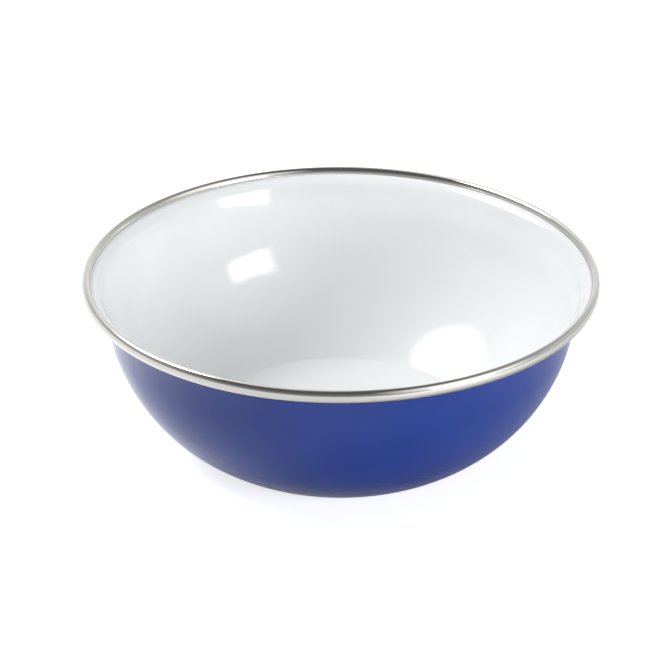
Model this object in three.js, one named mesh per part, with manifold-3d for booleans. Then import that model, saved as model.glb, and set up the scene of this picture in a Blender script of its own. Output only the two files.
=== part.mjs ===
// An enamelled steel bowl: a deep-drawn steel shell with a turned-out lip, coats of glass fired
// onto both its faces, and a stainless band rolled round the lip into an oval bead.
// Millimetres, +Z up. The origin is the centre of the foot, in the plane that the bowl stands on.
import * as THREE from 'three';
import { mergeVertices } from 'three/addons/utils/BufferGeometryUtils.js';
import Module from 'manifold-3d';

// The bowl's form, measured on its outside face
const RIM_DIAMETER = 240;
const BOWL_HEIGHT = 83;
const BASE_DIAMETER = 134.4;
const BELLY_RADIUS = 85;
const SHOULDER_RADIUS = 145;
const SHOULDER_SWEEP = THREE.MathUtils.degToRad(6.7);
const BASE_CORNER_RADIUS = 3;
const FOOT_LAND_WIDTH = 6;
const BASE_CROWN = 1;

// The turned-out lip that the rim band grips
const FLARE_RADIUS = 6;
const LIP_LENGTH = 3.2;
const LIP_RISE = THREE.MathUtils.degToRad(20);

// The layers of the wall
const BLUE_THICKNESS = 0.22;
const GROUND_THICKNESS = 0.12;
const STEEL_THICKNESS = 0.6;
const WHITE_THICKNESS = 0.22;
const FUSED_GAP = 0.03;

// The rolled rim band
const BEAD_WIDTH = 4.1;
const BEAD_HEIGHT = 5.9;
const BAND_THICKNESS = 0.4;
const LIP_EDGE_GAP = 0.3;
const CLINCH_GAP = 0.05;
const SEAM_GAP = 0.3;

// Facets round the axis, and along each round stretch of a profile
const TURN_FACETS = 44;
const CROWN_FACETS = 2;
const CORNER_FACETS = 1;
const BELLY_FACETS = 5;
const SHOULDER_FACETS = 1;
const FLARE_FACETS = 3;
const BEAD_QUARTER_FACETS = 3;

const QUARTER_TURN = Math.PI / 2;
const wasm = await Module();
wasm.setup();

// Each layer lies behind the one before it, from the outside in: how deep its two faces lie
// below the bowl's outside face.
const blueLayer = { outer: 0, inner: BLUE_THICKNESS };
const outerGroundLayer = layerBehind(blueLayer, GROUND_THICKNESS);
const steelLayer = layerBehind(outerGroundLayer, STEEL_THICKNESS);
const innerGroundLayer = layerBehind(steelLayer, GROUND_THICKNESS);
const whiteLayer = layerBehind(innerGroundLayer, WHITE_THICKNESS);
const halfWall = whiteLayer.inner / 2;

function layerBehind(layer, thickness) {
  const outer = layer.inner + FUSED_GAP;
  return { outer, inner: outer + thickness };
}

// In a profile point, x is the distance from the axis and y is the height above the table.

// The bead is an oval. The lip's middle plane runs through the oval's centre.
const beadCentre = new THREE.Vector2(RIM_DIAMETER / 2 - BEAD_WIDTH / 2, BOWL_HEIGHT - BEAD_HEIGHT / 2);
const beadOutside = oval(0);
const beadInside = oval(BAND_THICKNESS);
const lipAlong = new THREE.Vector2(Math.cos(LIP_RISE), Math.sin(LIP_RISE));
const lipUp = new THREE.Vector2(-lipAlong.y, lipAlong.x);
const lipReach = lipReachInBead();

// The flare turns the wall out into the lip. Its centre lies below the lip.
const flareCentre = lipPoint(lipReach - LIP_LENGTH, -halfWall - FLARE_RADIUS);

// The belly is one arc that starts on the base's edge. The shoulder carries it on, sweeping gently
// outwards into the flare. The span is where the flare's centre would lie from the belly's centre
// if the belly ended in a plumb wall.
const baseEdge = new THREE.Vector2(BASE_DIAMETER / 2, 0);
const plumbSpan = plumbFlareSpan();
const bellyCentre = bellyArcCentre();
const bellyEnd = heading(bellyCentre, flareCentre) - plumbSpan.angle();
const shoulderCentre = polar(BELLY_RADIUS + SHOULDER_RADIUS, bellyEnd).add(bellyCentre);
const flareStart = bellyEnd + Math.PI - SHOULDER_SWEEP;

// The corner rounds the foot's flat land into the belly.
const cornerCentre = baseCornerCentre();
const bellyStart = heading(bellyCentre, cornerCentre);
const landInnerRadius = cornerCentre.x - FOOT_LAND_WIDTH;

// The bead's oval, a given depth below the band's outside face
function oval(depth) {
  return { halfWidth: BEAD_WIDTH / 2 - depth, halfHeight: BEAD_HEIGHT / 2 - depth };
}

// A point on the lip: how far along it past the bead's centre, and how far above its middle plane
function lipPoint(along, above) {
  return beadCentre.clone().addScaledVector(lipAlong, along).addScaledVector(lipUp, above);
}

// Where a line along the lip, at a given height above its middle plane, crosses an oval:
// side is 1 for the crossing away from the bowl's axis and -1 for the one nearest it.
function crossOval({ halfWidth, halfHeight }, above, side) {
  const step = new THREE.Vector2(lipAlong.x / halfWidth, lipAlong.y / halfHeight);
  const start = new THREE.Vector2(lipUp.x / halfWidth, lipUp.y / halfHeight).multiplyScalar(above);
  const middle = -start.dot(step) / step.lengthSq();
  const spread = Math.sqrt(middle ** 2 - (start.lengthSq() - 1) / step.lengthSq());
  return middle + side * spread;
}

// The lip's trimmed edge stops short of the band all round.
function lipReachInBead() {
  const clearOval = oval(BAND_THICKNESS + LIP_EDGE_GAP);
  return Math.min(crossOval(clearOval, halfWall, 1), crossOval(clearOval, -halfWall, 1));
}

function polar(radius, angle) {
  return new THREE.Vector2(Math.cos(angle), Math.sin(angle)).multiplyScalar(radius);
}

function plumbFlareSpan() {
  const acrossBelly = polar(BELLY_RADIUS + SHOULDER_RADIUS, 0);
  const backToFlare = polar(SHOULDER_RADIUS - FLARE_RADIUS, Math.PI - SHOULDER_SWEEP);
  return acrossBelly.add(backToFlare);
}

// The centre that lies one belly radius from the base's edge and a plumb span from the flare's centre
function bellyArcCentre() {
  const span = flareCentre.clone().sub(baseEdge);
  const distance = span.length();
  const along = (BELLY_RADIUS ** 2 - plumbSpan.lengthSq() + distance ** 2) / (2 * distance);
  const aside = Math.sqrt(BELLY_RADIUS ** 2 - along ** 2);
  const direction = span.divideScalar(distance);
  const towardsAxis = new THREE.Vector2(-direction.y, direction.x);
  return baseEdge.clone().addScaledVector(direction, along).addScaledVector(towardsAxis, aside);
}

// The centre of the arc that touches both the table's plane and the inside of the belly's circle
function baseCornerCentre() {
  const distance = BELLY_RADIUS - BASE_CORNER_RADIUS;
  const drop = bellyCentre.y - BASE_CORNER_RADIUS;
  return new THREE.Vector2(bellyCentre.x + Math.sqrt(distance ** 2 - drop ** 2), BASE_CORNER_RADIUS);
}

function heading(from, to) {
  return Math.atan2(to.y - from.y, to.x - from.x);
}

function arcPoints(centre, radius, from, to, facets) {
  return Array.from({ length: facets + 1 }, (_, index) => {
    const angle = THREE.MathUtils.lerp(from, to, index / facets);
    return polar(radius, angle).add(centre);
  });
}

// The base's shallow dome, from the axis out to the foot's land
function crownPoints(depth) {
  return Array.from({ length: CROWN_FACETS + 1 }, (_, index) => {
    const share = index / CROWN_FACETS;
    return new THREE.Vector2(landInnerRadius * share, BASE_CROWN * (1 - share ** 2) + depth);
  });
}

// One face of the wall, a given depth below the outside face, from the axis out to the lip's edge
function wallFace(depth) {
  const cornerRadius = BASE_CORNER_RADIUS - depth;
  const shoulderRadius = SHOULDER_RADIUS + depth;
  const shoulderStart = bellyEnd + Math.PI;
  const flareEnd = LIP_RISE + QUARTER_TURN;
  const corner = arcPoints(cornerCentre, cornerRadius, -QUARTER_TURN, bellyStart, CORNER_FACETS);
  const belly = arcPoints(bellyCentre, BELLY_RADIUS - depth, bellyStart, bellyEnd, BELLY_FACETS);
  const shoulder = arcPoints(shoulderCentre, shoulderRadius, shoulderStart, flareStart, SHOULDER_FACETS);
  const flare = arcPoints(flareCentre, FLARE_RADIUS + depth, flareStart, flareEnd, FLARE_FACETS);
  const lipEdge = lipPoint(lipReach, depth - halfWall);
  const wall = [belly, shoulder, flare].flatMap((arc) => arc.slice(1));
  return [...crownPoints(depth), ...corner, ...wall, lipEdge];
}

// A closed profile turned about the bowl's axis
function turned(profile) {
  return new THREE.LatheGeometry(profile, TURN_FACETS).rotateX(QUARTER_TURN);
}

function wallLayer({ outer, inner }) {
  return turned([...wallFace(outer), ...wallFace(inner).reverse()]);
}

// One face of the band's strip, from its lower edge under the lip round to its upper edge.
// Both edges lie along the lip, a clinch gap off the coat.
function stripFace(shape) {
  const edgeAngle = (above) => {
    const edge = lipPoint(crossOval(shape, above, -1), above).sub(beadCentre);
    return Math.atan2(edge.y / shape.halfHeight, edge.x / shape.halfWidth);
  };
  const lower = edgeAngle(-halfWall - CLINCH_GAP);
  const upper = edgeAngle(halfWall + CLINCH_GAP);
  const stops = [lower, -QUARTER_TURN, 0, QUARTER_TURN, upper];
  const circle = stops.slice(1).flatMap((stop, index) => {
    const stretch = arcPoints(new THREE.Vector2(), 1, stops[index], stop, BEAD_QUARTER_FACETS);
    return index === 0 ? stretch : stretch.slice(1);
  });
  const stretchToOval = new THREE.Vector2(shape.halfWidth, shape.halfHeight);
  return circle.map((point) => point.multiply(stretchToOval).add(beadCentre));
}

// The strip is bent into a ring whose ends butt at a seam on the far side of the bowl.
function rimBand() {
  const profile = [...stripFace(beadOutside), ...stripFace(beadInside).reverse()];
  const ring = turned([...profile, profile[0]]);
  const seam = new THREE.BoxGeometry(SEAM_GAP, 2 * BEAD_WIDTH, 2 * BEAD_HEIGHT);
  seam.translate(0, beadCentre.x, beadCentre.y);
  return cut(ring, seam);
}

function solid(geometry) {
  const bare = geometry.clone();
  bare.deleteAttribute('normal');
  bare.deleteAttribute('uv');
  const merged = mergeVertices(bare);
  const vertProperties = merged.attributes.position.array;
  const triVerts = new Uint32Array(merged.index.array);
  return new wasm.Manifold(new wasm.Mesh({ numProp: 3, vertProperties, triVerts }));
}

function cut(body, tool) {
  const { vertProperties, triVerts } = solid(body).subtract(solid(tool)).getMesh();
  const geometry = new THREE.BufferGeometry();
  geometry.setAttribute('position', new THREE.BufferAttribute(vertProperties, 3));
  geometry.setIndex(new THREE.BufferAttribute(triVerts, 1));
  geometry.computeVertexNormals();
  return geometry;
}

function piece(name, geometry, finish) {
  const mesh = new THREE.Mesh(geometry, new THREE.MeshStandardMaterial(finish));
  mesh.name = name;
  return mesh;
}

const groundFinish = { color: '#1d2230', roughness: 0.4, metalness: 0 };
const bowl = new THREE.Group();
bowl.add(
  piece('steel_shell', wallLayer(steelLayer), { color: '#70737a', roughness: 0.5, metalness: 1 }),
  piece('ground_coat_outside', wallLayer(outerGroundLayer), groundFinish),
  piece('ground_coat_inside', wallLayer(innerGroundLayer), groundFinish),
  piece('blue_coat', wallLayer(blueLayer), { color: '#2f3f92', roughness: 0.15, metalness: 0 }),
  piece('white_lining', wallLayer(whiteLayer), { color: '#eef0f2', roughness: 0.12, metalness: 0 }),
  piece('rim_band', rimBand(), { color: '#cfcec8', roughness: 0.22, metalness: 1 }),
);

export default bowl;
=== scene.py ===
import math

import bpy
import numpy as np
from bpy.props import FloatProperty, FloatVectorProperty, IntProperty, PointerProperty
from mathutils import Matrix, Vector


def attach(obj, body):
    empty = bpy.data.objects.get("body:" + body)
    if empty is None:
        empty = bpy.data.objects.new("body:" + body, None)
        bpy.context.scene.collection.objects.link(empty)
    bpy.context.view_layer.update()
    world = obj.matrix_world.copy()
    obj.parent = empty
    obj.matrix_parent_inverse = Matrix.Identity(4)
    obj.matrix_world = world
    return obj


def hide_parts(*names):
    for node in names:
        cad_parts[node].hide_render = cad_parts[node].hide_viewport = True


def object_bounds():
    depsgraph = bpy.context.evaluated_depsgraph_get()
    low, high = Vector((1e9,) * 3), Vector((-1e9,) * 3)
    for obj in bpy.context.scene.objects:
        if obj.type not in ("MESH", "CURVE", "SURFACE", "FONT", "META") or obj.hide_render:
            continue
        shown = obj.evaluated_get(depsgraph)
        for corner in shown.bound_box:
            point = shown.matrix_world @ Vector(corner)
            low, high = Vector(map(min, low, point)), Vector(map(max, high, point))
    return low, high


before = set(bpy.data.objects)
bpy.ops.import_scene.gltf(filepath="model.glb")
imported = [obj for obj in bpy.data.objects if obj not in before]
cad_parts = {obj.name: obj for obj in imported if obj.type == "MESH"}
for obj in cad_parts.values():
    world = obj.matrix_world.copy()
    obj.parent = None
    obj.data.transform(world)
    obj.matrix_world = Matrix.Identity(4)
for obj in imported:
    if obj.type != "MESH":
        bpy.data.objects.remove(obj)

bl_info = {
    "name": "Enamel bowl",
    "version": (1, 0, 0),
    "blender": (4, 5, 0),
    "location": "View3D > Sidebar > Bowl",
    "description": "Builds an enamelled steel bowl with a rolled stainless rim on its CAD frame",
    "category": "Object",
}

CAD_LOW, CAD_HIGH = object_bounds()
BODY = "root"
MM = 0.001
QUARTER_TURN = math.pi / 2
PICTURE_WIDTH_PX = 665
SENSOR_WIDTH_MM = 36.0

# How far apart faces may turn before the edge between them is left sharp
SHARP_ANGLE = math.radians(40)

# Stops along each stretch of the wall's section, and along each quarter of the bead's
CROWN_STOPS = 8
CORNER_STOPS = 8
BELLY_STOPS = 32
SHOULDER_STOPS = 10
FLARE_STOPS = 16
BEAD_QUARTER_STOPS = 12

# Heights between which painted shade darkens the white lining towards the lip
LIP_SHADE_HEIGHTS = (70 * MM, 78 * MM)

# Steps on vectors that give a plain value
VECTOR_MEASURES = ("LENGTH", "DISTANCE", "DOT_PRODUCT")

# The middle stretches of a noise that are spread over a mask's whole range
NOISE_MIDDLE = (0.3, 0.7)
PATCH_MIDDLE = (0.35, 0.65)

# How far the roughness swings over the coats and the steel, as shares of its middle value
GLAZE_SWING = (0.9, 1.1)
STEEL_SWING = (0.8, 1.2)

# Depth of the lines that rolling and drawing leave in the steel
GRAIN_DEPTH = 0.0001 * MM

# Where the lights aim, inside the bowl
LIGHT_AIM = (0.0, 0.0, 60 * MM)

# How far from its middle a light's cloth starts to dim and goes dark, as shares of its width
CLOTH_FADE = (0.24, 0.5)

# Half the floor's width, and how far it lies under the foot, so that no two faces coincide
FLOOR_HALF = 6.0
FLOOR_DROP = 0.2 * MM

# Distances from the bowl between which the camera sees the floor turn white
FLOOR_WHITENS = (0.3, 1.5)

# Painted pools of light, which only reflections see on the floor: the middle, and the distances between
# which each changes
OPEN_POOL = ((0.0, 0.0, 0.0), 0.085, 0.16)
FAR_POOL = ((0.0, 0.0, 0.0), 0.2, 0.6)
LEFT_POOL = ((-0.136, 0.012, 0.0), 0.0, 0.19)
PANEL_POOL = ((0.3, -0.3, 0.0), 0.08, 0.29)

# Parts of the studio that reflections see: a direction, and how far along it each part sets in and is full
CEILING_PART = ((-0.2, -0.4, 1.0), 0.0, 0.9)
BACKDROP_PART = ((0.0, 1.0, 0.0), 0.7, 0.95)
KEY_SPILL_PART = ((-0.412, 0.457, 0.788), 0.866, 0.978)
PANEL_SPILL_PART = ((0.723, -0.506, 0.469), 0.81, 0.97)

# How far up the sky the walls give way to the ceiling, as matt faces see them
CEILING_EDGE = (0.6, 0.95)

# The nearest thing that the camera shows
CAMERA_NEAR = 0.01

# The layers of the wall, from the outside in
LAYERS = ("blue", "outer_ground", "steel", "inner_ground", "white")


# Sizes, colours and studio settings that a user would change

def length(name, description, default):
    return FloatProperty(name=name, description=description, default=default, min=0.0, precision=5,
                         subtype="DISTANCE", unit="LENGTH")


def angle(name, description, degrees):
    return FloatProperty(name=name, description=description, default=math.radians(degrees),
                         subtype="ANGLE", unit="ROTATION")


def colour(name, description, default):
    return FloatVectorProperty(name=name, description=description, default=default, size=3,
                               min=0.0, max=1.0, subtype="COLOR")


def brightness(name, description, default):
    return FloatProperty(name=name, description=description, default=default, min=0.0)


def share(name, description, default, most=1.0):
    return FloatProperty(name=name, description=description, default=default, min=0.0, max=most,
                         subtype="FACTOR")


class BowlForm(bpy.types.PropertyGroup):
    """The bowl's sizes, measured on its outside face"""

    rim_diameter: length("Rim diameter", "Across the outside of the bead", CAD_HIGH.x - CAD_LOW.x)
    height: length("Height", "From the table to the top of the bead", CAD_HIGH.z - CAD_LOW.z)
    base_diameter: length("Base diameter", "Where the belly's arc meets the table", 134.4 * MM)
    belly_radius: length("Belly radius", "Arc of the belly", 85 * MM)
    shoulder_radius: length("Shoulder radius", "Arc that sweeps out above the belly", 145 * MM)
    shoulder_sweep: angle("Shoulder sweep", "How far the shoulder turns outwards", 6.7)
    corner_radius: length("Corner radius", "Arc from the foot into the belly", 3 * MM)
    land_width: length("Land width", "Flat ring that the bowl stands on", 6 * MM)
    crown: length("Crown", "Rise of the base in the middle", 1 * MM)
    flare_radius: length("Flare radius", "Arc that turns the wall out into the lip", 6 * MM)
    lip_length: length("Lip length", "Straight lip inside the bead", 3.2 * MM)
    lip_rise: angle("Lip rise", "Slope of the lip", 20)
    blue_thickness: length("Blue coat", "Thickness of the blue cover coat", 0.22 * MM)
    ground_thickness: length("Ground coat", "Thickness of each ground coat", 0.12 * MM)
    steel_thickness: length("Steel", "Thickness of the pressed sheet", 0.6 * MM)
    white_thickness: length("White coat", "Thickness of the white lining", 0.22 * MM)
    fused_gap: length("Fused gap", "Gap kept between two layers", 0.03 * MM)
    bead_width: length("Bead width", "Across the rolled rim", 4.1 * MM)
    bead_height: length("Bead height", "Height of the rolled rim", 5.9 * MM)
    band_thickness: length("Band thickness", "Thickness of the rim's strip", 0.4 * MM)
    lip_edge_gap: length("Lip edge gap", "Room between the lip's edge and the strip", 0.3 * MM)
    clinch_gap: length("Clinch gap", "Gap between the strip's edges and the coats", 0.05 * MM)
    seam_gap: length("Seam gap", "Gap between the strip's two ends", 0.02 * MM)
    turn_segments: IntProperty(name="Segments", description="Segments round the axis",
                               default=192, min=24)
    strip_segments: IntProperty(name="Strip segments", description="Segments along the rim's strip",
                                default=256, min=24)


class BowlFinish(bpy.types.PropertyGroup):
    """The colours and gloss of the coats and the metal"""

    white: colour("White", "White lining", (0.845, 0.865, 0.87))
    white_shade: colour("White shade", "White lining in patches of thinner coat", (0.83, 0.851, 0.858))
    # Painted shade: the lining is darkened towards the lip, where the flare faces up to the dim ceiling
    lip_painted_shade: colour("White lip", "White lining where it thins out at the lip", (0.79, 0.808, 0.82))
    blue: colour("Blue", "Blue coat", (0.0037, 0.038, 0.287))
    blue_shade: colour("Blue shade", "Blue coat in patches where it is thick", (0.0032, 0.0338, 0.263))
    ground: colour("Ground coat", "Dark glass next to the steel", (0.012, 0.014, 0.024))
    ground_shade: colour("Ground shade", "Ground coat in patches where it is thick", (0.006, 0.007, 0.013))
    rim_steel: colour("Rim steel", "Bright stainless strip", (0.61, 0.60, 0.568))
    rim_shade: colour("Rim shade", "Stainless strip between its bright lines", (0.555, 0.545, 0.517))
    shell_steel: colour("Shell steel", "Bare sheet under the coats", (0.44, 0.45, 0.48))
    shell_shade: colour("Shell shade", "Bare sheet between its draw lines", (0.33, 0.34, 0.36))
    blue_specks: share("Blue specks", "How much fine specks of pigment change the blue", 0.3)
    glaze_roughness: share("Glaze roughness", "Roughness of the fired coats", 0.09)
    white_index: FloatProperty(name="White index", description="Refractive index of the white coat",
                               default=1.52, min=1.0)
    blue_index: FloatProperty(name="Blue index", description="Refractive index of the dark coats",
                              default=1.45, min=1.0)
    rim_roughness: share("Rim roughness", "Roughness of the rim's strip", 0.07)
    shell_roughness: share("Shell roughness", "Roughness of the bare sheet", 0.45)


class StudioLook(bpy.types.PropertyGroup):
    """The floor, the lights and the camera"""

    key_radiance: brightness("Key", "Brightness of the round key light", 11.6)
    key_heading: angle("Key heading", "Turn of the key light from the camera's side", -108.5)
    key_rise: angle("Key rise", "Height of the key light over the table", 47.1)
    key_roll: angle("Key roll", "Turn of the key light's face", 26.6)
    key_distance: length("Key distance", "From the bowl to the key light", 1.4)
    key_width: length("Key width", "Across the key light", 1.01)
    key_height: length("Key height", "Height of the key light's face", 0.94)
    panel_radiance: brightness("Panel", "Brightness of the square panel", 13.8)
    panel_heading: angle("Panel heading", "Turn of the panel from the camera's side", 50.2)
    panel_rise: angle("Panel rise", "Height of the panel's middle over the table", 14.2)
    panel_roll: angle("Panel roll", "Turn of the panel's face", -5.8)
    panel_distance: length("Panel distance", "From the bowl to the panel", 1.2)
    panel_width: length("Panel width", "Width of the panel", 0.605)
    panel_height: length("Panel height", "Height of the panel", 0.545)
    top_radiance: brightness("Top", "Brightness of the top light, which reflections leave out", 2.4)
    top_heading: angle("Top heading", "Turn of the top light from the camera's side", 35.0)
    top_rise: angle("Top rise", "Height of the top light over the table", 76.0)
    top_distance: length("Top distance", "From the bowl to the top light", 1.2)
    top_width: length("Top width", "Across the top light", 0.9)
    fill: share("Fill", "Light of the studio's walls on matt faces", 0.37, 4.0)
    fill_overhead: share("Fill overhead", "Light of the studio's ceiling on matt faces", 0.045, 4.0)
    walls: share("Walls", "Brightness of the studio's walls, in reflections", 0.8, 4.0)
    ceiling: share("Ceiling", "Brightness of the studio's ceiling, in reflections", 0.14, 4.0)
    backdrop: share("Backdrop", "More light in reflections of the wall behind the bowl", 0.38, 4.0)
    key_spill: share("Key spill", "More light in reflections of the wall round the key light", 1.1, 4.0)
    panel_spill: share("Panel spill", "More light in reflections of the wall over the panel", 1.1, 4.0)
    floor: colour("Floor", "Pale floor", (0.74, 0.74, 0.74))
    floor_glow: share("Floor glow", "More light on the floor by the bowl, as the camera sees it", 0.75)
    # Painted pools of light: the floor glows here for reflections only, where no lamp lights it
    open_glow: share("Open glow", "More light in reflections of the floor clear of the bowl", 0.24)
    far_glow: share("Far glow", "More light in reflections of the floor far from the bowl", 0.14)
    left_glow: share("Left glow", "More light in reflections of the floor to the bowl's left", 0.56)
    panel_glow: share("Panel glow", "More light in reflections of the floor before the panel", 0.5)
    camera_place: FloatVectorProperty(name="Camera", description="Where the camera stands", size=3,
                                      default=(-0.00018, -1.16886, 0.65225), subtype="XYZ", unit="LENGTH")
    camera_target: FloatVectorProperty(name="Target", description="What the camera looks at", size=3,
                                       default=(-0.00387, -0.01172, 0.05632), subtype="XYZ", unit="LENGTH")
    focal_px: FloatProperty(name="Focal length", description="Focal length in pixels of the picture",
                            default=2800.0, min=1.0, subtype="PIXEL")


# The wall's section: points are (distance from the axis, height above the table)

def polar(radius, heading):
    return radius * np.array([math.cos(heading), math.sin(heading)])


def heading_of(vector):
    return math.atan2(vector[1], vector[0])


def arc(centre, radius, start, end, stops):
    headings = np.linspace(start, end, stops + 1)
    return centre + radius * np.stack([np.cos(headings), np.sin(headings)], axis=1)


class WallSection:
    """Arcs of the wall, the lip and the bead, worked out from the bowl's sizes"""

    def __init__(self, form):
        self.form = form
        self.depths = self.layer_depths()
        self.half_wall = self.depths["white"][1] / 2
        self.bead_centre = np.array([form.rim_diameter / 2 - form.bead_width / 2,
                                     form.height - form.bead_height / 2])
        self.lip_along = polar(1, form.lip_rise)
        self.lip_up = polar(1, form.lip_rise + QUARTER_TURN)
        self.lip_reach = self.reach_of_lip()
        flare_below = -self.half_wall - form.flare_radius
        self.flare_centre = self.lip_point(self.lip_reach - form.lip_length, flare_below)
        self.place_belly()

    def layer_depths(self):
        """How deep each layer's two faces lie below the outside face"""
        form = self.form
        thickness = {"blue": form.blue_thickness, "outer_ground": form.ground_thickness,
                     "steel": form.steel_thickness, "inner_ground": form.ground_thickness,
                     "white": form.white_thickness}
        depths, start = {}, 0.0
        for layer in LAYERS:
            depths[layer] = (start, start + thickness[layer])
            start = depths[layer][1] + form.fused_gap
        return depths

    def bead_oval(self, depth):
        return np.array([self.form.bead_width, self.form.bead_height]) / 2 - depth

    def lip_point(self, along, above):
        return self.bead_centre + along * self.lip_along + above * self.lip_up

    def cross_oval(self, oval, above, side):
        """Where a line along the lip crosses an oval round the bead's centre"""
        step = self.lip_along / oval
        start = above * self.lip_up / oval
        middle = -start.dot(step) / step.dot(step)
        spread = math.sqrt(middle ** 2 - (start.dot(start) - 1) / step.dot(step))
        return middle + side * spread

    def reach_of_lip(self):
        """The lip's trimmed edge stops short of the strip all round"""
        clear = self.bead_oval(self.form.band_thickness + self.form.lip_edge_gap)
        return min(self.cross_oval(clear, above, 1) for above in (self.half_wall, -self.half_wall))

    def place_belly(self):
        """The belly starts on the base's edge, and the shoulder carries it on into the flare"""
        form = self.form
        base_edge = np.array([form.base_diameter / 2, 0.0])
        plumb_span = (polar(form.belly_radius + form.shoulder_radius, 0)
                      + polar(form.shoulder_radius - form.flare_radius, math.pi - form.shoulder_sweep))
        span = self.flare_centre - base_edge
        distance = np.hypot(*span)
        along = (form.belly_radius ** 2 - plumb_span.dot(plumb_span) + distance ** 2) / (2 * distance)
        aside = math.sqrt(form.belly_radius ** 2 - along ** 2)
        direction = span / distance
        inwards = np.array([-direction[1], direction[0]])
        self.belly_centre = base_edge + along * direction + aside * inwards
        self.belly_end = heading_of(self.flare_centre - self.belly_centre) - heading_of(plumb_span)
        self.shoulder_centre = self.belly_centre + polar(form.belly_radius + form.shoulder_radius,
                                                         self.belly_end)
        self.flare_start = self.belly_end + math.pi - form.shoulder_sweep
        reach = form.belly_radius - form.corner_radius
        drop = self.belly_centre[1] - form.corner_radius
        self.corner_centre = np.array([self.belly_centre[0] + math.sqrt(reach ** 2 - drop ** 2),
                                       form.corner_radius])
        self.belly_start = heading_of(self.corner_centre - self.belly_centre)
        self.land_inner = self.corner_centre[0] - form.land_width

    def wall_face(self, depth):
        """One face of the wall, a given depth below the outside face, from the axis to the lip's edge"""
        form = self.form
        part = np.linspace(0, 1, CROWN_STOPS + 1)
        crown = np.stack([self.land_inner * part, form.crown * (1 - part ** 2) + depth], axis=1)
        corner = arc(self.corner_centre, form.corner_radius - depth, -QUARTER_TURN, self.belly_start,
                     CORNER_STOPS)
        belly = arc(self.belly_centre, form.belly_radius - depth, self.belly_start, self.belly_end,
                    BELLY_STOPS)
        shoulder = arc(self.shoulder_centre, form.shoulder_radius + depth, self.belly_end + math.pi,
                       self.flare_start, SHOULDER_STOPS)
        flare = arc(self.flare_centre, form.flare_radius + depth, self.flare_start,
                    form.lip_rise + QUARTER_TURN, FLARE_STOPS)
        lip_edge = self.lip_point(self.lip_reach, depth - self.half_wall)
        return np.vstack([crown, corner, belly[1:], shoulder[1:], flare[1:], lip_edge])

    def strip_face(self, depth):
        """One face of the rim's strip, from its lower edge under the lip round to its upper edge"""
        oval = self.bead_oval(depth)

        def edge_turn(above):
            edge = self.cross_oval(oval, above, -1) * self.lip_along + above * self.lip_up
            return heading_of(edge / oval)

        clear = self.half_wall + self.form.clinch_gap
        stops = (edge_turn(-clear), -QUARTER_TURN, 0.0, QUARTER_TURN, edge_turn(clear))
        stretches = [arc(np.zeros(2), 1.0, start, end, BEAD_QUARTER_STOPS)[:-1]
                     for start, end in zip(stops, stops[1:])]
        circle = np.vstack([*stretches, polar(1.0, stops[-1])])
        return self.bead_centre + circle * oval


# Meshes

def placed(name, data):
    """A new object in the scene"""
    made = bpy.data.objects.new(name, data)
    bpy.context.scene.collection.objects.link(made)
    return made


def piece_from(name, vertices, faces, material, node_name):
    """A smooth piece that stands for a CAD node and rides on the bowl's one body"""
    mesh = bpy.data.meshes.new(name)
    mesh.from_pydata([tuple(vertex) for vertex in vertices], [], faces)
    mesh.validate()
    mesh.polygons.foreach_set("use_smooth", [True] * len(mesh.polygons))
    mesh.set_sharp_from_angle(angle=SHARP_ANGLE)
    mesh.materials.append(material)
    piece = placed(name, mesh)
    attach(piece, BODY)
    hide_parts(node_name)


def turned_shell(section, layer, segments):
    """A layer of the wall: its section turned about the axis, with one vertex where a face meets it"""
    outer, inner = (section.wall_face(depth) for depth in section.depths[layer])
    profile = np.vstack([outer, inner[::-1]])
    turns = np.linspace(0, 2 * math.pi, segments, endpoint=False)
    rings = np.stack([np.outer(profile[1:-1, 0], np.cos(turns)),
                      np.outer(profile[1:-1, 0], np.sin(turns)),
                      np.repeat(profile[1:-1, 1], segments).reshape(-1, segments)], axis=2)
    poles = [(0.0, 0.0, profile[0, 1]), (0.0, 0.0, profile[-1, 1])]
    vertices = np.vstack([rings.reshape(-1, 3), poles])
    last_ring = (len(profile) - 3) * segments
    under, top = len(vertices) - 2, len(vertices) - 1
    faces = []
    for here in range(segments):
        there = (here + 1) % segments
        faces.append((under, there, here))
        faces.append((top, last_ring + here, last_ring + there))
        for ring in range(0, last_ring, segments):
            faces.append((ring + here, ring + there, ring + segments + there, ring + segments + here))
    return vertices, faces


def rolled_strip(section, segments):
    """The rim's strip bent into a ring, with its two cut ends facing each other at the back"""
    outside = section.strip_face(0.0)
    inside = section.strip_face(section.form.band_thickness)
    outline = np.vstack([outside, inside[::-1]])
    count = len(outline)
    half_seam = math.asin(section.form.seam_gap / 2 / section.bead_centre[0])
    turns = QUARTER_TURN + np.linspace(half_seam, 2 * math.pi - half_seam, segments + 1)
    vertices = np.stack([np.outer(np.cos(turns), outline[:, 0]),
                         np.outer(np.sin(turns), outline[:, 0]),
                         np.tile(outline[:, 1], (segments + 1, 1))], axis=2).reshape(-1, 3)
    faces = []
    for start in range(0, segments * count, count):
        for here in range(count):
            there = (here + 1) % count
            faces.append((start + here, start + count + here, start + count + there, start + there))
    last = segments * count
    for here in range(len(outside) - 1):
        cap = (here, here + 1, count - 2 - here, count - 1 - here)
        faces.append(cap)
        faces.append(tuple(last + corner for corner in reversed(cap)))
    return vertices, faces


# Materials

def node(tree, kind, inputs=None, **settings):
    """Adds a node, sets its properties, and gives its inputs values or links them to outputs"""
    made = tree.nodes.new(kind)
    for name, value in settings.items():
        setattr(made, name, value)
    for socket, value in (inputs or {}).items():
        if isinstance(value, bpy.types.NodeSocket):
            tree.links.new(value, made.inputs[socket])
        else:
            made.inputs[socket].default_value = value
    return made


def cleared_tree(owner):
    """The node tree of a material, a lamp or a world, switched on and emptied"""
    owner.use_nodes = True
    owner.node_tree.nodes.clear()
    return owner.node_tree


def math_node(tree, operation, *values):
    return node(tree, "ShaderNodeMath", dict(enumerate(values)), operation=operation).outputs[0]


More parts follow.
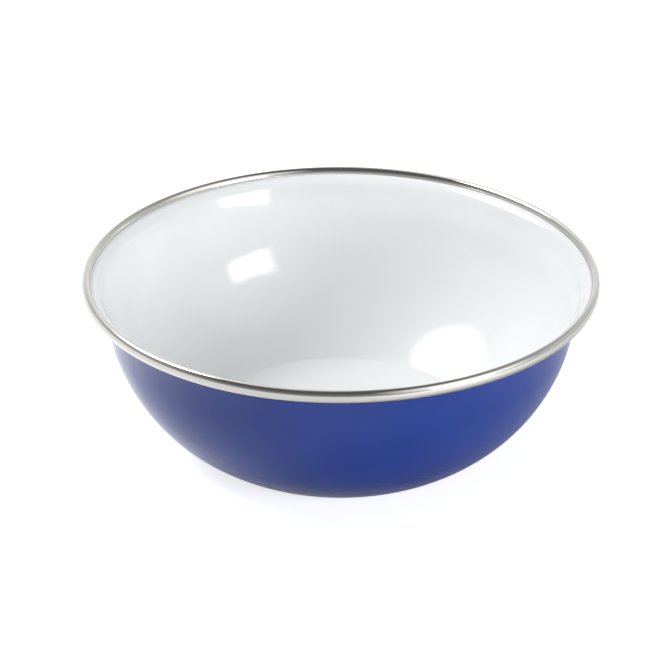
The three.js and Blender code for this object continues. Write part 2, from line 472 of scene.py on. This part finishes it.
def vector_node(tree, operation, *vectors, **sockets):
    """A step on vectors, which gives a plain value where it measures and a vector otherwise"""
    made = node(tree, "ShaderNodeVectorMath", {**dict(enumerate(vectors)), **sockets}, operation=operation)
    return made.outputs["Value" if operation in VECTOR_MEASURES else "Vector"]


def own_place(tree):
    """Where a point lies in its object's own space, which is the bowl's"""
    return node(tree, "ShaderNodeTexCoord").outputs["Object"]


def height_of(tree, vector):
    return node(tree, "ShaderNodeSeparateXYZ", {0: vector}).outputs["Z"]


def noise(tree, vector, scale, detail=2.0):
    made = node(tree, "ShaderNodeTexNoise", {"Vector": vector, "Scale": scale, "Detail": detail})
    return made.outputs["Fac"]


def mapped(tree, value, low, high, start=0.0, end=1.0):
    made = node(tree, "ShaderNodeMapRange",
                {"Value": value, "From Min": low, "From Max": high, "To Min": start, "To Max": end})
    return made.outputs["Result"]


def mixed(tree, factor, first, second):
    """Two colours mixed by a factor that changes over the surface"""
    made = node(tree, "ShaderNodeMix", {0: factor, 6: first, 7: second}, data_type="RGBA")
    return made.outputs[2]


def opaque(colour_value):
    return (*colour_value, 1.0)


def effect_group(name, inputs, outputs):
    """A shader node group with named float inputs and outputs"""
    group = bpy.data.node_groups.new(name, "ShaderNodeTree")
    for socket, default in inputs.items():
        made = group.interface.new_socket(name=socket, in_out="INPUT", socket_type="NodeSocketFloat")
        made.default_value = default
    for socket in outputs:
        group.interface.new_socket(name=socket, in_out="OUTPUT", socket_type="NodeSocketFloat")
    return group, node(group, "NodeGroupInput").outputs, node(group, "NodeGroupOutput").inputs


def fired_glaze_group():
    """Waves and fine peel of glass that ran in the kiln, patches of another thickness, and specks

    The specks are far finer than a pixel. They also soften a line that the renderer's denoiser draws
    where the blue starts to mirror the floor.
    """
    name = "Fired glaze"
    if name in bpy.data.node_groups:
        return bpy.data.node_groups[name]
    group, given, result = effect_group(
        name,
        {"Wave Scale": 90.0, "Wave Height": 1.2e-4, "Peel Scale": 420.0, "Peel Height": 5e-7,
         "Patch Scale": 45.0, "Speck Scale": 40000.0, "Speck Depth": 0.04},
        ("Height", "Patch", "Speck"))
    place = own_place(group)
    smooth_wave = noise(group, place, given["Wave Scale"], detail=0.0)
    wave = math_node(group, "MULTIPLY", smooth_wave, given["Wave Height"])
    peel = math_node(group, "MULTIPLY", noise(group, place, given["Peel Scale"]), given["Peel Height"])
    patch = noise(group, place, given["Patch Scale"], detail=3.0)
    group.links.new(math_node(group, "ADD", wave, peel), result["Height"])
    group.links.new(mapped(group, patch, *PATCH_MIDDLE), result["Patch"])
    speck = mapped(group, noise(group, place, given["Speck Scale"]), *NOISE_MIDDLE, -1.0, 1.0)
    group.links.new(math_node(group, "MULTIPLY_ADD", speck, given["Speck Depth"], 1.0), result["Speck"])
    return group


def turned_grain_group():
    """Fine lines that run round the bowl's axis, as rolling and drawing leave them in steel"""
    name = "Turned grain"
    if name in bpy.data.node_groups:
        return bpy.data.node_groups[name]
    group, given, result = effect_group(name, {"Line Scale": 9000.0, "Run Scale": 14.0, "Patch Scale": 3.0},
                                        ("Grain", "Patch"))
    place = own_place(group)
    flat = vector_node(group, "MULTIPLY", place, (1.0, 1.0, 0.0))
    radius = vector_node(group, "LENGTH", flat)
    round_axis = vector_node(group, "NORMALIZE", flat)
    run = vector_node(group, "SCALE", round_axis, Scale=given["Run Scale"])
    height = math_node(group, "MULTIPLY", height_of(group, place), given["Line Scale"])
    lift = node(group, "ShaderNodeCombineXYZ", {"Z": height}).outputs["Vector"]
    across = vector_node(group, "ADD", run, lift)
    lines = node(group, "ShaderNodeTexNoise",
                 {"Vector": across, "W": math_node(group, "MULTIPLY", radius, given["Line Scale"]),
                  "Scale": 1.0, "Detail": 2.0}, noise_dimensions="4D").outputs["Fac"]
    patch = noise(group, round_axis, given["Patch Scale"])
    group.links.new(mapped(group, lines, *NOISE_MIDDLE), result["Grain"])
    group.links.new(mapped(group, patch, *NOISE_MIDDLE), result["Patch"])
    return group


def shaded_material(name):
    """A new material, with its node tree and its Principled shader"""
    material = bpy.data.materials.new(name)
    tree = cleared_tree(material)
    shader = node(tree, "ShaderNodeBsdfPrincipled")
    node(tree, "ShaderNodeOutputMaterial", {"Surface": shader.outputs["BSDF"]})
    return material, tree, shader


def glaze_material(name, plain, patch, roughness, index, lip=None, **values):
    """Fired glass: a glossy coat with patches of another shade, and painted shade that may darken it
    towards the lip
    """
    material, tree, shader = shaded_material(name)
    group = node(tree, "ShaderNodeGroup", node_tree=fired_glaze_group())
    for socket, value in values.items():
        group.inputs[socket].default_value = value
    coat = mixed(tree, group.outputs["Patch"], opaque(plain), opaque(patch))
    base = vector_node(tree, "SCALE", coat, Scale=group.outputs["Speck"])
    # Painted shade darkens the coat towards the lip
    if lip:
        height = height_of(tree, own_place(tree))
        base = mixed(tree, mapped(tree, height, *LIP_SHADE_HEIGHTS), base, opaque(lip))
    bump = node(tree, "ShaderNodeBump", {"Height": group.outputs["Height"], "Distance": 1.0})
    tree.links.new(base, shader.inputs["Base Color"])
    smoothest, roughest = (part * roughness for part in GLAZE_SWING)
    tree.links.new(mapped(tree, group.outputs["Patch"], 0.0, 1.0, smoothest, roughest),
                   shader.inputs["Roughness"])
    tree.links.new(bump.outputs["Normal"], shader.inputs["Normal"])
    shader.inputs["IOR"].default_value = index
    return material


def steel_material(name, bright, shade, roughness, **values):
    """Turned or rolled steel with fine lines round the axis"""
    material, tree, shader = shaded_material(name)
    group = node(tree, "ShaderNodeGroup", node_tree=turned_grain_group())
    for socket, value in values.items():
        group.inputs[socket].default_value = value
    lines = math_node(tree, "MULTIPLY", group.outputs["Grain"], group.outputs["Patch"])
    tree.links.new(mixed(tree, lines, opaque(bright), opaque(shade)), shader.inputs["Base Color"])
    smoothest, roughest = (part * roughness for part in STEEL_SWING)
    tree.links.new(mapped(tree, group.outputs["Grain"], 0.0, 1.0, smoothest, roughest),
                   shader.inputs["Roughness"])
    depth = math_node(tree, "MULTIPLY", group.outputs["Grain"], GRAIN_DEPTH)
    bump = node(tree, "ShaderNodeBump", {"Height": depth, "Distance": 1.0})
    tree.links.new(bump.outputs["Normal"], shader.inputs["Normal"])
    shader.inputs["Metallic"].default_value = 1.0
    return material


# One operator for each piece or pair of like pieces, and one for the stage

def wall_piece(scene, name, layer, material, node_name):
    """One layer of the wall as a piece of its own"""
    form = scene.bowl_form
    vertices, faces = turned_shell(WallSection(form), layer, form.turn_segments)
    piece_from(name, vertices, faces, material, node_name)


class BOWL_OT_press_shell(bpy.types.Operator):
    """Presses the steel shell that carries the coats"""

    bl_idname = "bowl.press_shell"
    bl_label = "Press steel shell"

    def execute(self, context):
        finish = context.scene.bowl_finish
        steel = steel_material("Drawn sheet steel", finish.shell_steel, finish.shell_shade,
                               finish.shell_roughness, **{"Line Scale": 1500.0, "Run Scale": 30.0})
        wall_piece(context.scene, "drawn_shell", "steel", steel, "steel_shell")
        return {"FINISHED"}


class BOWL_OT_fire_ground_coats(bpy.types.Operator):
    """Fires the dark ground coats onto both faces of the shell"""

    bl_idname = "bowl.fire_ground_coats"
    bl_label = "Fire ground coats"

    def execute(self, context):
        finish = context.scene.bowl_finish
        ground = glaze_material("Ground enamel", finish.ground, finish.ground_shade, finish.glaze_roughness,
                                finish.blue_index, **{"Peel Scale": 700.0, "Peel Height": 2e-6})
        wall_piece(context.scene, "outer_ground_glass", "outer_ground", ground, "ground_coat_outside")
        wall_piece(context.scene, "inner_ground_glass", "inner_ground", ground, "ground_coat_inside")
        return {"FINISHED"}


class BOWL_OT_fire_blue_coat(bpy.types.Operator):
    """Fires the blue cover coat onto the outside"""

    bl_idname = "bowl.fire_blue_coat"
    bl_label = "Fire blue coat"

    def execute(self, context):
        finish = context.scene.bowl_finish
        blue = glaze_material("Blue enamel", finish.blue, finish.blue_shade, finish.glaze_roughness,
                              finish.blue_index, **{"Speck Depth": finish.blue_specks})
        wall_piece(context.scene, "blue_glass", "blue", blue, "blue_coat")
        return {"FINISHED"}


class BOWL_OT_fire_white_lining(bpy.types.Operator):
    """Fires the white cover coat onto the inside"""

    bl_idname = "bowl.fire_white_lining"
    bl_label = "Fire white lining"

    def execute(self, context):
        finish = context.scene.bowl_finish
        white = glaze_material("White enamel", finish.white, finish.white_shade, finish.glaze_roughness,
                               finish.white_index, lip=finish.lip_painted_shade)
        wall_piece(context.scene, "white_glass", "white", white, "white_lining")
        return {"FINISHED"}


class BOWL_OT_roll_rim(bpy.types.Operator):
    """Rolls the stainless strip round the lip"""

    bl_idname = "bowl.roll_rim"
    bl_label = "Roll rim band"

    def execute(self, context):
        finish, form = context.scene.bowl_finish, context.scene.bowl_form
        steel = steel_material("Stainless strip", finish.rim_steel, finish.rim_shade, finish.rim_roughness)
        vertices, faces = rolled_strip(WallSection(form), form.strip_segments)
        piece_from("rolled_strip", vertices, faces, steel, "rim_band")
        return {"FINISHED"}


def looking_at(place, target):
    return (Vector(target) - Vector(place)).to_track_quat("-Z", "Y").to_euler()


def aimed_light(name, shape, radiance, heading, rise, roll, distance, width, height):
    """A soft light that faces the bowl, given by the radiance of its face"""
    target = Vector(LIGHT_AIM)
    towards = Vector((math.sin(heading) * math.cos(rise), -math.cos(heading) * math.cos(rise),
                      math.sin(rise)))
    lamp = bpy.data.lights.new(name, "AREA")
    lamp.shape = shape
    lamp.size = width
    lamp.size_y = height
    face = width * height * (math.pi / 4 if shape == "ELLIPSE" else 1.0)
    lamp.energy = radiance * face * math.pi
    light = placed(name, lamp)
    light.location = target + distance * towards
    light.rotation_euler = looking_at(light.location, target)
    light.rotation_euler.rotate_axis("Z", roll)
    light.visible_camera = False
    dim_towards_edge(lamp)
    return light


def dim_towards_edge(lamp):
    """A soft light's cloth is brightest in the middle and dims towards its frame"""
    tree = cleared_tree(lamp)
    place = node(tree, "ShaderNodeNewGeometry").outputs["Parametric"]
    offset = vector_node(tree, "SUBTRACT", place, (0.5, 0.5, 0.0))
    if lamp.shape == "ELLIPSE":
        reach = vector_node(tree, "LENGTH", offset)
    else:
        sides = vector_node(tree, "ABSOLUTE", offset)
        along = node(tree, "ShaderNodeSeparateXYZ", {0: sides}).outputs
        reach = math_node(tree, "MAXIMUM", along["X"], along["Y"])
    strength = mapped(tree, reach, *CLOTH_FADE, 1.0, 0.0)
    glow = node(tree, "ShaderNodeEmission", {"Strength": strength})
    node(tree, "ShaderNodeOutputLight", {"Surface": glow.outputs[0]})


class BOWL_OT_set_stage(bpy.types.Operator):
    """Sets up the floor, the studio's light and the camera"""

    bl_idname = "bowl.set_stage"
    bl_label = "Set stage"

    def execute(self, context):
        studio = context.scene.studio_look
        self.floor(studio)
        self.surroundings(studio)
        aimed_light("key_light", "ELLIPSE", studio.key_radiance, studio.key_heading, studio.key_rise,
                    studio.key_roll, studio.key_distance, studio.key_width, studio.key_height)
        aimed_light("panel_light", "RECTANGLE", studio.panel_radiance, studio.panel_heading,
                    studio.panel_rise, studio.panel_roll, studio.panel_distance, studio.panel_width,
                    studio.panel_height)
        top = aimed_light("top_light", "ELLIPSE", studio.top_radiance, studio.top_heading,
                          studio.top_rise, 0.0, studio.top_distance, studio.top_width, studio.top_width)
        top.visible_glossy = False
        self.camera(studio)
        context.scene.view_settings.view_transform = "Standard"
        return {"FINISHED"}

    def floor(self, studio):
        """A pale floor that takes the bowl's shadow"""
        mesh = bpy.data.meshes.new("studio_floor")
        corners = ((-1, -1), (1, -1), (1, 1), (-1, 1))
        mesh.from_pydata([(x * FLOOR_HALF, y * FLOOR_HALF, -FLOOR_DROP) for x, y in corners], [],
                         [(0, 1, 2, 3)])
        material = bpy.data.materials.new("Pale floor")
        tree = cleared_tree(material)
        lit = node(tree, "ShaderNodeBsdfDiffuse", {"Color": opaque(studio.floor)})
        path = node(tree, "ShaderNodeLightPath").outputs
        place = own_place(tree)
        mirrored = math_node(tree, "MULTIPLY", path["Is Glossy Ray"],
                             self.mirrored_glow(tree, place, studio))
        reach = vector_node(tree, "LENGTH", place)
        seen = mapped(tree, reach, *FLOOR_WHITENS, studio.floor_glow, 1.0)
        glow = math_node(tree, "MULTIPLY_ADD", path["Is Camera Ray"], seen, mirrored)
        shown = node(tree, "ShaderNodeEmission", {"Strength": glow})
        both = node(tree, "ShaderNodeAddShader", {0: lit.outputs[0], 1: shown.outputs[0]})
        node(tree, "ShaderNodeOutputMaterial", {"Surface": both.outputs[0]})
        mesh.materials.append(material)
        placed("studio_floor", mesh)

    def mirrored_glow(self, tree, place, studio):
        """Painted pools of light that only reflections see on the floor: round the bowl, to its left and
        before the panel
        """
        glow = 0.0
        for (middle, near, far), inside, outside in ((OPEN_POOL, 0.0, studio.open_glow),
                                                     (FAR_POOL, 0.0, studio.far_glow),
                                                     (LEFT_POOL, studio.left_glow, 0.0),
                                                     (PANEL_POOL, studio.panel_glow, 0.0)):
            reach = vector_node(tree, "DISTANCE", place, middle)
            glow = math_node(tree, "ADD", mapped(tree, reach, near, far, inside, outside), glow)
        return glow

    def surroundings(self, studio):
        """White to the camera, dim walls and ceiling to matt faces, and the studio to glossy ones"""
        world = bpy.data.worlds.new("Studio")
        bpy.context.scene.world = world
        tree = cleared_tree(world)
        towards = node(tree, "ShaderNodeTexCoord").outputs["Generated"]

        mirrored = 0.0
        for (direction, low, high), start, end in ((CEILING_PART, studio.walls, studio.ceiling),
                                                   (BACKDROP_PART, 0.0, studio.backdrop),
                                                   (KEY_SPILL_PART, 0.0, studio.key_spill),
                                                   (PANEL_SPILL_PART, 0.0, studio.panel_spill)):
            along = vector_node(tree, "DOT_PRODUCT", towards, direction)
            mirrored = math_node(tree, "ADD", mapped(tree, along, low, high, start, end), mirrored)
        matt = mapped(tree, height_of(tree, towards), *CEILING_EDGE, studio.fill, studio.fill_overhead)
        path = node(tree, "ShaderNodeLightPath").outputs
        level = node(tree, "ShaderNodeMix", {0: path["Is Glossy Ray"], 2: matt, 3: mirrored}).outputs[0]
        white = (1.0, 1.0, 1.0, 1.0)
        room = node(tree, "ShaderNodeBackground", {"Color": white, "Strength": level})
        shown = node(tree, "ShaderNodeBackground", {"Color": white, "Strength": 1.0})
        seen = node(tree, "ShaderNodeMixShader",
                    {0: path["Is Camera Ray"], 1: room.outputs[0], 2: shown.outputs[0]})
        node(tree, "ShaderNodeOutputWorld", {"Surface": seen.outputs[0]})

    def camera(self, studio):
        """A camera at the photograph's place"""
        data = bpy.data.cameras.new("photo_camera")
        data.sensor_width = SENSOR_WIDTH_MM
        data.lens = studio.focal_px / PICTURE_WIDTH_PX * SENSOR_WIDTH_MM
        data.clip_start = CAMERA_NEAR
        camera = placed("photo_camera", data)
        camera.location = studio.camera_place
        camera.rotation_euler = looking_at(studio.camera_place, studio.camera_target)
        bpy.context.scene.camera = camera


class BOWL_PT_panel(bpy.types.Panel):
    """Lists the bowl's sizes, finishes and building steps"""

    bl_idname = "BOWL_PT_panel"
    bl_label = "Enamel bowl"
    bl_space_type = "VIEW_3D"
    bl_region_type = "UI"
    bl_category = "Bowl"

    def draw(self, context):
        for operator in OPERATORS:
            self.layout.operator(operator.bl_idname)
        for owner in (context.scene.bowl_form, context.scene.bowl_finish, context.scene.studio_look):
            box = self.layout.box()
            for name in owner.bl_rna.properties.keys():
                if name not in ("rna_type", "name"):
                    box.prop(owner, name)


OPERATORS = (BOWL_OT_press_shell, BOWL_OT_fire_ground_coats, BOWL_OT_fire_blue_coat,
             BOWL_OT_fire_white_lining, BOWL_OT_roll_rim, BOWL_OT_set_stage)
GROUPS = (BowlForm, BowlFinish, StudioLook)


def register():
    for kind in (*GROUPS, *OPERATORS, BOWL_PT_panel):
        bpy.utils.register_class(kind)
    bpy.types.Scene.bowl_form = PointerProperty(type=BowlForm)
    bpy.types.Scene.bowl_finish = PointerProperty(type=BowlFinish)
    bpy.types.Scene.studio_look = PointerProperty(type=StudioLook)


def unregister():
    del bpy.types.Scene.studio_look
    del bpy.types.Scene.bowl_finish
    del bpy.types.Scene.bowl_form
    for kind in reversed((*GROUPS, *OPERATORS, BOWL_PT_panel)):
        bpy.utils.unregister_class(kind)


def main():
    register()
    bpy.ops.bowl.set_stage()
    bpy.ops.bowl.press_shell()
    bpy.ops.bowl.fire_ground_coats()
    bpy.ops.bowl.fire_blue_coat()
    bpy.ops.bowl.fire_white_lining()
    bpy.ops.bowl.roll_rim()


if __name__ == "__main__":
    main()
